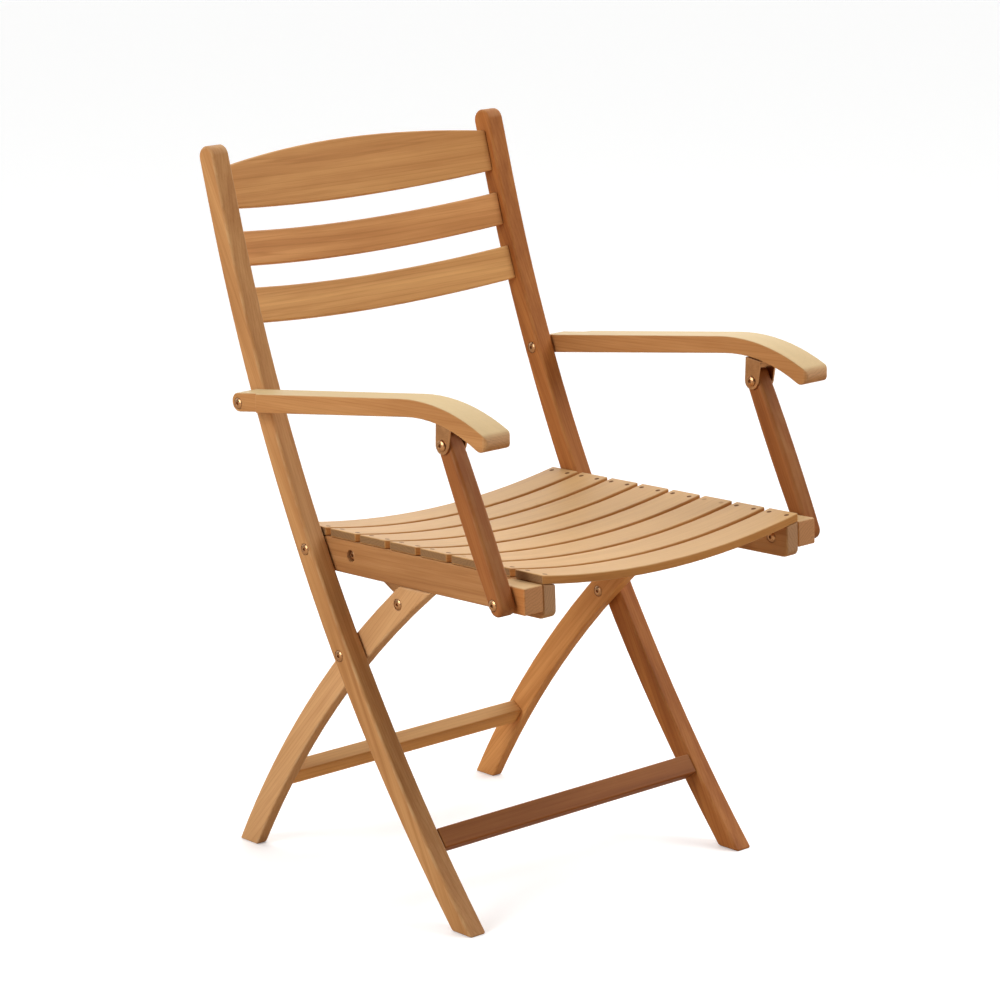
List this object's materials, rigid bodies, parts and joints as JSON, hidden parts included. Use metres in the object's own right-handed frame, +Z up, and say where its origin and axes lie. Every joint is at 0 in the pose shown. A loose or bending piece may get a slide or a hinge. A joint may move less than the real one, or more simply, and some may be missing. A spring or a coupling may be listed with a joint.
{
  "type": "folding armchair",
  "caption": "Slatted wooden folding armchair: curved back posts, dished slat seat, crossed rear legs and arms on struts, all folding flat together.",
  "frame": {"origin": "on the floor, midway between the left and right sides and midway between the arms' front ends and the rear feet", "axes": "+Z up; the sitter faces -Y; +X is the sitter's left"},
  "size_m": [0.556, 0.5986, 0.89],
  "materials": {
    "teak": "oiled teak, satin",
    "teak_pale": "lighter oiled teak, satin",
    "bronze": "aged bronze, satin"
  },
  "bodies": {
    "root": {"post_left": "teak", "post_right": "teak", "back_slat_top": "teak", "back_slat_middle": "teak", "back_slat_bottom": "teak", "front_stretcher": "teak", "seat_pivot_bolt_left": "bronze", "seat_pivot_bolt_right": "bronze", "seat_pivot_nut_left": "bronze", "seat_pivot_nut_right": "bronze", "leg_pivot_bolt_left": "bronze", "leg_pivot_bolt_right": "bronze", "leg_pivot_nut_left": "bronze", "leg_pivot_nut_right": "bronze", "arm_pivot_bolt_left": "bronze", "arm_pivot_bolt_right": "bronze", "arm_pivot_nut_left": "bronze", "arm_pivot_nut_right": "bronze"},
    "seat": {"seat_rail_left": "teak", "seat_rail_right": "teak", "spacer_block_left": "teak", "spacer_block_right": "teak", "seat_slat_1": "teak_pale", "seat_slat_2": "teak_pale", "seat_slat_3": "teak_pale", "seat_slat_4": "teak_pale", "seat_slat_5": "teak_pale", "seat_slat_6": "teak_pale", "seat_slat_7": "teak_pale", "seat_slat_8": "teak_pale", "strut_foot_bolt_left": "bronze", "strut_foot_bolt_right": "bronze", "strut_foot_nut_left": "bronze", "strut_foot_nut_right": "bronze", "link_seat_bolt_left": "bronze", "link_seat_bolt_right": "bronze", "link_seat_nut_left": "bronze", "link_seat_nut_right": "bronze"},
    "rear_legs": {"rear_leg_left": "teak", "rear_leg_right": "teak", "rear_stretcher": "teak", "link_leg_bolt_left": "bronze", "link_leg_bolt_right": "bronze"},
    "arm_left": {"arm_left": "teak_pale", "strut_bracket_left": "bronze", "strut_top_bolt_left": "bronze", "strut_top_nut_left": "bronze"},
    "strut_left": {"strut_left": "teak"},
    "link_left": {"fold_link_left": "bronze", "link_leg_nut_left": "bronze"},
    "arm_right": {"arm_right": "teak_pale", "strut_bracket_right": "bronze", "strut_top_bolt_right": "bronze", "strut_top_nut_right": "bronze"},
    "strut_right": {"strut_right": "teak"},
    "link_right": {"fold_link_right": "bronze", "link_leg_nut_right": "bronze"}
  },
  "joints": [
    {"name": "seat_fold", "type": "hinge", "parent": "root", "child": "seat", "pos_m": [0, 0.0976, 0.4183], "axis": [-1, 0, 0], "range_deg": [0, 103]},
    {"name": "leg_fold", "type": "hinge", "parent": "root", "child": "rear_legs", "pos_m": [0, 0.0369, 0.2969], "axis": [-1, 0, 0], "range_deg": [0, 46.81]},
    {"name": "arm_fold_left", "type": "hinge", "parent": "root", "child": "arm_left", "pos_m": [0.2375, 0.178, 0.5912], "axis": [-1, 0, 0], "range_deg": [0, 103]},
    {"name": "strut_fold_left", "type": "hinge", "parent": "seat", "child": "strut_left", "pos_m": [0.25, -0.2716, 0.4257], "axis": [-1, 0, 0], "range_deg": [-103, 0]},
    {"name": "link_fold_left", "type": "hinge", "parent": "seat", "child": "link_left", "pos_m": [0.1872, 0.0437, 0.4153], "axis": [-1, 0, 0], "range_deg": [-119.44, 0]},
    {"name": "arm_fold_right", "type": "hinge", "parent": "root", "child": "arm_right", "pos_m": [-0.2375, 0.178, 0.5912], "axis": [-1, 0, 0], "range_deg": [0, 103]},
    {"name": "strut_fold_right", "type": "hinge", "parent": "seat", "child": "strut_right", "pos_m": [-0.25, -0.2716, 0.4257], "axis": [-1, 0, 0], "range_deg": [-103, 0]},
    {"name": "link_fold_right", "type": "hinge", "parent": "seat", "child": "link_right", "pos_m": [-0.1872, 0.0437, 0.4153], "axis": [-1, 0, 0], "range_deg": [-119.44, 0]}
  ],
  "couplings": [
    {"joint": "leg_fold", "follows": "seat_fold", "ratio": 0.45443},
    {"joint": "arm_fold_left", "follows": "seat_fold", "ratio": 1},
    {"joint": "strut_fold_left", "follows": "seat_fold", "ratio": -1},
    {"joint": "link_fold_left", "follows": "seat_fold", "ratio": -1.1596},
    {"joint": "arm_fold_right", "follows": "seat_fold", "ratio": 1},
    {"joint": "strut_fold_right", "follows": "seat_fold", "ratio": -1},
    {"joint": "link_fold_right", "follows": "seat_fold", "ratio": -1.1596}
  ]
}
